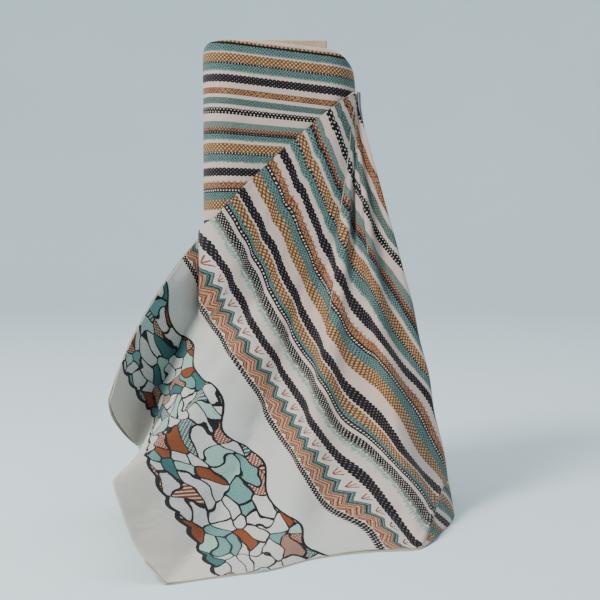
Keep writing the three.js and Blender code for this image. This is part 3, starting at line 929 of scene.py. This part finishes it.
# Lines of the flat cloth from the tuck to the hem: angle from the stripes in degrees, place of the
# hem from the bolt's foot, and how far the middle leaves the straight line, both in mm.
hem_lines = np.array(
    [
        (-4.9, 243, 40, 0, 0, 0, 0),
        (4.4, 251, -58, 0, 10, 0, 0),
        (10.0, 252, -118, 0, 12, 4, -4),
        (15.0, 243, -176, 0, 2, 24, -16),
        (18.5, 224, -228, 0, -4, 36, -26),
        (21.5, 206, -276, 2, -8, 42, -34),
        (24.6, 185, -312, 0, -8, 50, -44),
        (28.0, 132, -318, 0, 2, 50, -68),
        (30.5, 64, -345, 0, 12, 58, -78),
        (36.0, -12, -407, 0, 10, 66, -88),
        (41.1, -70, -432, 0, 2, 94, -114),
        (44.2, -122, -456, 0, -2, 105, -123),
        (44.7, -130, -459, 0, -2, 106, -124),
        (45.3, -137, -455, 7, -2, 106, -124),
        (49.0, -175, -432, 50, -4, 102, -118),
        (53.8, -203, -375, 110, -14, 97, -106),
        (58.0, -196, -310, 108, -30, 98, -82),
        (63.0, -190, -225, 105, -48, 95, -62),
        (68.2, -205, -155, 111, -60, 95, -40),
        (72.5, -222, -195, 150, -68, 95, -27),
        (77.0, -230, -225, 184, -78, 105, -20),
    ]
)


def through(x, at, values):
    """Smooth curve through given values that never overshoots between them (monotone cubic)."""
    step = np.diff(at)
    slope = np.diff(values) / step
    w1 = 2 * step[1:] + step[:-1]
    w2 = step[1:] + 2 * step[:-1]
    same = slope[:-1] * slope[1:] > 0
    safe_a = np.where(same, slope[:-1], 1.0)
    safe_b = np.where(same, slope[1:], 1.0)
    inner = np.where(same, (w1 + w2) / (w1 / safe_a + w2 / safe_b), 0.0)
    tangent = np.concatenate([slope[:1], inner, slope[-1:]])
    x = np.clip(x, at[0], at[-1])
    k = np.clip(np.searchsorted(at, x, side="right") - 1, 0, len(at) - 2)
    t = (x - at[k]) / step[k]
    return (
        (2 * t**3 - 3 * t**2 + 1) * values[k]
        + (t**3 - 2 * t**2 + t) * step[k] * tangent[k]
        + (3 * t**2 - 2 * t**3) * values[k + 1]
        + (t**3 - t**2) * step[k] * tangent[k + 1]
    )


def flat_reach(turn):
    """Length of the flat cloth from the tuck to its edge along an angle in degrees."""
    c = np.cos(np.radians(turn))
    s = np.sin(np.radians(turn))
    to_end = free_length / np.maximum(c, 1e-6)
    low = np.where(s > 1e-6, cloth_below / np.where(s > 1e-6, s, 1), np.inf)
    high = np.where(s < -1e-6, cloth_above / np.where(s < -1e-6, -s, 1), np.inf)
    return np.minimum(to_end, np.minimum(low, high))


def drape(turn, t):
    """Point of the free end: the straight line from the tuck to the hem, with a parabola of sag."""
    last = hem_lines[0, 0]
    used = np.maximum(turn, last)
    hem = np.stack([through(used, hem_lines[:, 0], hem_lines[:, k]) for k in (1, 2, 3)], axis=-1) / 1000
    sag = np.stack([through(used, hem_lines[:, 0], hem_lines[:, k]) for k in (4, 5, 6)], axis=-1) / 1000
    past = turn < last
    share = cloth_above / np.tan(np.radians(np.where(past, -turn, 45.0))) / free_length
    on_fold = top_fold_start + (hem - top_fold_start) * share[..., None]
    hem = np.where(past[..., None], on_fold, hem)
    t = t[..., None]
    p = pinch + (hem - pinch) * t + sag * 4 * t * (1 - t)
    p[..., 1] -= comes_forward * p[..., 2]
    return p


def smooth_step(x, low, high):
    """0 below low, 1 above high and a smooth rise between."""
    t = np.clip((x - low) / (high - low), 0, 1)
    return t * t * (3 - 2 * t)


def clear_of_bolt(p, room, in_front):
    """Moves points that are too near the bolt straight out of its front or round its corners."""
    x = p @ across_axis
    n = p @ outward_axis
    out_x = np.maximum(np.abs(x) - (bolt_width / 2 - bolt_corner), 0)
    ease = 0.0028 * smooth_step(np.abs(x), 0.040, 0.074) + 0.0024 * smooth_step(np.abs(x), 0.092, 0.110)
    reach = bolt_corner + room + ease
    half = bolt_thick / 2 - bolt_corner
    share = (1 - smooth_step(np.abs(x), 0.096, 0.124)) * in_front
    rise = np.sqrt(np.maximum(reach**2 - out_x**2, 0))
    over = n - (half + rise)
    lift = np.where(over <= -0.010, -over, np.where(over < 0.010, (over - 0.010) ** 2 / 0.040, 0))
    lifted = n + share * lift
    out_n = np.maximum(np.abs(lifted) - half, 0)
    far = np.hypot(out_x, out_n)
    over = far - reach
    near = (far > 1e-9) & (over < 0.006)
    push = np.where(over <= -0.006, -over, (over - 0.006) ** 2 / 0.024) / np.maximum(far, 1e-9)
    push = np.where(near, push, 0)
    return (
        p
        + (np.sign(x) * out_x * push)[..., None] * across_axis
        + (lifted - n + np.sign(lifted) * out_n * push)[..., None] * outward_axis
    )


# Creases that run out from the tuck: angle and half width in degrees, depth in mm, and the share of
# the length where they are deepest and over which they fade. Positive ones are ridges.
creases = [
    (61, 3.2, 9, 0.42, 0.34),
    (55, 2.6, -6, 0.50, 0.34),
    (47, 3.0, 7, 0.55, 0.34),
    (38, 2.6, -8, 0.50, 0.34),
    (33, 2.4, 6, 0.40, 0.34),
    (26, 2.2, -5, 0.60, 0.34),
    (17, 2.4, -6, 0.35, 0.34),
    (12, 2.2, 5, 0.60, 0.34),
    (6, 2.4, -7, 0.45, 0.34),
    (0, 2.6, 7, 0.65, 0.34),
    (70, 1.0, -1.4, 0.30, 0.16),
    (66, 1.2, 1.6, 0.25, 0.16),
    (58, 1.1, -2.2, 0.24, 0.14),
    (51, 1.1, -1.8, 0.22, 0.13),
    (47.5, 1.0, 1.6, 0.20, 0.12),
    (43, 1.1, 2.2, 0.25, 0.14),
    (40.5, 1.0, -2.4, 0.24, 0.14),
    (35.4, 1.1, -5.0, 0.38, 0.10),
    (37.4, 1.1, 2.6, 0.37, 0.10),
    (33.0, 1.3, 3.4, 0.19, 0.11),
    (30.2, 1.5, -7.0, 0.20, 0.12),
    (27.4, 1.2, 3.0, 0.24, 0.12),
    (23, 1.1, -3.4, 0.24, 0.14),
    (20, 1.2, 3.0, 0.28, 0.14),
    (14, 1.1, -3.4, 0.24, 0.13),
    (9, 1.1, -4.0, 0.20, 0.10),
    (4, 1.0, 2.6, 0.22, 0.12),
    (25.4, 1.3, -7.0, 0.93, 0.10),
    (29.6, 1.6, 3.0, 0.90, 0.10),
    (21.0, 1.4, 3.5, 0.94, 0.09),
]


def crease_depth(turn, t):
    """Sum of bell-shaped ridges and troughs along lines from the tuck, in metres."""
    total = np.zeros(np.broadcast(turn, t).shape)
    for middle, half, depth, peak, fade in creases:
        total += depth * np.exp(-(((turn - middle) / half) ** 2)) * np.exp(-(((t - peak) / fade) ** 2))
    return total / 1000


cloth_room = 0.0046
# The slanting edge, where the cloth turns under, lies 77 degrees from the stripes.
slant_turn = 77.0
past_fold_turns = [-5.5, -6.2, -7.2, -8.5, -10.3, -12.5, -16, -20, -27, -38, -50, -65]
turn_steps = np.concatenate([np.linspace(slant_turn, -4.9, 196), past_fold_turns])
length_steps = np.linspace(0, 1, 206)
reach = flat_reach(turn_steps)
first = np.minimum(0.35, 0.004 / reach)
turn_grid = np.repeat(turn_steps[:, None], len(length_steps), axis=1)
t_grid = first[:, None] + (1 - first[:, None]) * length_steps[None, :]
free = drape(turn_grid, t_grid)
ahead = drape(turn_grid, np.minimum(1, t_grid + 0.01)) - drape(turn_grid, t_grid - 0.01)
aside = drape(turn_grid - 0.6, t_grid) - drape(turn_grid + 0.6, t_grid)
normal = -np.cross(aside, ahead)
normal /= np.linalg.norm(normal, axis=-1, keepdims=True)
flat_run = t_grid * reach[:, None] * np.cos(np.radians(turn_grid))
flat_level = t_grid * reach[:, None] * np.sin(np.radians(turn_grid))
ripple = 0.0011 * soft_noise(21, flat_run * 3.0, flat_level * 3.0, waves=14, low=0.8, high=3.2)
ripple *= np.clip(t_grid * 4, 0, 1)
free = free + normal * (crease_depth(turn_grid, t_grid) + ripple)[..., None]
# The front comes down early and lies forward on the floor, so it kinks level above the hem.
lies = np.exp(-(((t_grid - 0.85) / 0.09) ** 2))
lies *= smooth_step(turn_grid, 26, 33)
lies *= 1 - smooth_step(turn_grid, 43, 48)
free[..., 2] -= 0.012 * lies
# The edge of the front layer stands proud along the pleat at its lower right corner.
pleat_from = 0.92
pleat_length = 0.08
pleat_low_turn = 16.0
pleat_turn_rise = 8.6
pleat_turn = pleat_low_turn + pleat_turn_rise * (t_grid - pleat_from) / pleat_length
pleat = np.exp(-(((turn_grid - pleat_turn - 0.9) / 0.8) ** 2)) * smooth_step(t_grid, 0.89, 0.94)
free += normal * (0.0042 * pleat)[..., None]
free = clear_of_bolt(free, cloth_room, turn_grid > 2)
free[..., 2] = np.maximum(free[..., 2], 0.0006)
free += bolt_foot


def surface_normals(points):
    """Unit normals of a grid of points, from the differences along its rows and columns."""
    side = np.cross(np.gradient(points, axis=0), np.gradient(points, axis=1))
    return side / np.maximum(np.linalg.norm(side, axis=-1, keepdims=True), 1e-12)


out_normal = -surface_normals(free)
free_outer = free + out_normal * 0.0016
free_outer[..., 2] = np.maximum(free_outer[..., 2], 0.0013)

# Where the bands lie on the drape, read off the photo: a row for each distance along the cloth,
# then the level there of the seven bands whose levels on the flat cloth are in band_levels, in mm.
band_levels = [-56, 0, 49, 140, 217, 294, 349, 412, 644]
band_places = np.array(
    [
        (0, 0, 40, 118, 200, 288, 343, 412),
        (100, 8, 58, 130, 204, 289, 342, 408),
        (200, 13, 63, 144, 214, 294, 360, 423),
        (300, 3, 46, 150, 224, 295, 348, 412),
        (400, 0, 38, 133, 221, 295, 355, 416),
        (500, 0, 36, 96, 222, 284, 341, 404),
        (600, 0, 36, 92, 178, 297, 331, 399),
        (650, 0, 36, 92, 174, 294, 342, 405),
    ],
    float,
)
run_mm = np.clip(flat_run * 1000, 0, 650)
places = [np.full(run_mm.shape, float(band_levels[0]))]
places += [through(run_mm, band_places[:, 0], band_places[:, k]) for k in range(1, 8)]
places += [np.full(run_mm.shape, float(band_levels[-1]))]
level_mm = flat_level * 1000
print_level = np.full(level_mm.shape, float(band_levels[0]))
for k in range(len(band_levels) - 1):
    share = np.clip((level_mm - places[k]) / (places[k + 1] - places[k]), 0, 1)
    moved = band_levels[k] + share * (band_levels[k + 1] - band_levels[k])
    print_level = np.where(level_mm >= places[k], moved, print_level)
free_uv = np.stack([flat_run, print_level / 1000], axis=-1)
free_cloth = grid_mesh("free_end_cloth", free_outer, uv=free_uv)
doubled_wall = 0.0011
one_ply_wall = 0.0007
cloth_wall(free_cloth, [linen, reverse, raw_edge], doubled_wall)
# Second ply of the doubled cloth: the same drape just under the first, let down a few millimetres
# below it along the front hem.
ply_turns = np.linspace(47.0, 22.5, 90)
ply_t = np.linspace(0.90, 1.0, 14)
ply_turn_grid, ply_t_grid = np.meshgrid(ply_turns, ply_t, indexing="ij")
at_turn = np.interp(ply_turns, turn_steps[::-1], np.arange(len(turn_steps))[::-1])
low_row = np.clip(np.floor(at_turn).astype(int), 0, len(turn_steps) - 2)
share = (at_turn - low_row)[:, None, None]
hem_now = free_outer[low_row] * (1 - share) + free_outer[low_row + 1] * share
hem_normal = out_normal[low_row] * (1 - share) + out_normal[low_row + 1] * share
last_column = len(length_steps) - 1
pick_t = np.round((ply_t - first.min()) / (1 - first.min()) * last_column).astype(int)
pick_t = np.clip(pick_t, 0, last_column)
ply = hem_now[:, pick_t] - hem_normal[:, pick_t] * 0.0022
slip_way = hem_now[:, -1] - hem_now[:, -8]
slip_way /= np.linalg.norm(slip_way, axis=-1, keepdims=True)
slip = 0.0022 + 0.0045 * smooth_step(-np.abs(ply_turns - 27.0), -4.5, -1.0)
slip = slip + 0.0007 * np.sin(ply_turns * 1.9)
ply = ply + (slip_way * slip[:, None])[:, None, :] * (ply_t_grid[..., None] > 0.95)
ply[..., 2] = np.clip(ply[..., 2], 0.0010, None)
ply_run = ply_t_grid * flat_reach(ply_turn_grid) * np.cos(np.radians(ply_turn_grid))
ply_level = ply_t_grid * flat_reach(ply_turn_grid) * np.sin(np.radians(ply_turn_grid))
second_ply = grid_mesh("second_ply_hem", ply, uv=np.stack([ply_run, ply_level], axis=-1))
cloth_wall(second_ply, [reverse, reverse, raw_edge], one_ply_wall)
# Pleat at the lower right corner: the cloth turns back under the front layer's edge there, so its
# stripes run nearly level. It lies on the drape from that edge to the corner.
pleat_down, pleat_out = np.meshgrid(np.linspace(0, 1, 48), np.linspace(0, 1, 64), indexing="ij")
corner_turn = 5.0
tuck_turn = (pleat_low_turn + pleat_turn_rise * pleat_down) * (1 - pleat_out) + corner_turn * pleat_out
tuck_t = pleat_from + pleat_length * pleat_down
tuck_t = tuck_t + (1 - tuck_t) * 0.85 * smooth_step(pleat_out, 0.35, 1.0)
row = np.interp(tuck_turn, turn_steps[::-1], np.arange(len(turn_steps))[::-1])
row_low = np.clip(np.floor(row).astype(int), 0, len(turn_steps) - 2)
row_share = (row - row_low)[..., None]
column = (tuck_t - first[row_low]) / (1 - first[row_low]) * last_column
column_low = np.clip(np.floor(column).astype(int), 0, last_column - 1)
column_share = (column - column_low)[..., None]


def on_sheet(grid):
    """Values of a grid over the drape at the places of the pleat, between its nearest four."""
    near = grid[row_low, column_low] * (1 - column_share)
    near = near + grid[row_low, column_low + 1] * column_share
    far = grid[row_low + 1, column_low] * (1 - column_share)
    far = far + grid[row_low + 1, column_low + 1] * column_share
    return near * (1 - row_share) + far * row_share


tuck = on_sheet(free_outer) + on_sheet(out_normal) * 0.0012
tuck[..., 2] = np.maximum(tuck[..., 2], 0.0011)
tuck_reach = tuck_t * flat_reach(tuck_turn)
tuck_x = tuck_reach * np.cos(np.radians(tuck_turn))
tuck_y = tuck_reach * np.sin(np.radians(tuck_turn))
# Its flat place is the drape's, turned by 38.6 degrees and moved 417 mm across the cloth.
pleat_cos = 0.781
pleat_sin = 0.624
pleat_shift = 0.417
tuck_uv = np.stack(
    [
        pleat_cos * tuck_x - pleat_sin * tuck_y,
        pleat_sin * tuck_x + pleat_cos * tuck_y - pleat_shift,
    ],
    axis=-1,
)
pleat_cloth = grid_mesh("corner_pleat", tuck[::-1], uv=tuck_uv[::-1])
cloth_wall(pleat_cloth, [linen, reverse, raw_edge], one_ply_wall)
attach(pleat_cloth, "root")
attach(second_ply, "root")
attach(free_cloth, "root")
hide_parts("free_end")

# Layer folded under
# The cloth turns under at the slanting tuck edge and runs back to the left side of the bolt. Only
# its back shows past the edge; it is the same sheet.
under_from = 0.5
under_to = 0.995
u_steps = np.linspace(0, 1, 60)
v_steps = np.linspace(0, 1, 46)
uu, vv = np.meshgrid(u_steps, v_steps, indexing="ij")
under_t = under_from + (under_to - under_from) * uu
edge = clear_of_bolt(drape(np.full_like(uu, slant_turn), under_t), cloth_room, True)
edge = edge + np.array([-0.0019, 0.00275, 0.0])
back = (
    from_bolt(
        -bolt_width / 2 - cloth_room - 0.002 + 0 * uu,
        -0.004 - 0.022 * uu,
        0.372 - 0.352 * uu,
    )
    - bolt_foot
)
under = edge + (back - edge) * vv[..., None]
belly = 4 * vv * (1 - vv) * np.minimum(1, uu * 1.5 + 0.1)
under = under + belly[..., None] * np.array([-0.038, 0.012, -0.006])
swell = 0.0012 * soft_noise(31, uu * 1.2, vv * 0.8)[..., None] * np.array([-1.0, 0.2, 0.0])
under = under + swell * (4 * vv * (1 - vv))[..., None]
under = clear_of_bolt(under, cloth_room + 0.001, False) + bolt_foot
# Flat place: out along the tuck edge, then square to it on the far side of the fold.
out_along = under_t * flat_reach(np.array(slant_turn))
past_fold = np.linalg.norm(back - edge, axis=-1) * vv
edge_turn = np.radians(slant_turn)
under_uv = np.stack(
    [
        out_along * np.cos(edge_turn) - past_fold * np.sin(edge_turn),
        out_along * np.sin(edge_turn) + past_fold * np.cos(edge_turn),
    ],
    axis=-1,
)
under_cloth = grid_mesh("turned_under_cloth", under, uv=under_uv)
cloth_wall(under_cloth, [linen, reverse, raw_edge], doubled_wall)
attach(under_cloth, "root")
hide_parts("folded_under_layer")
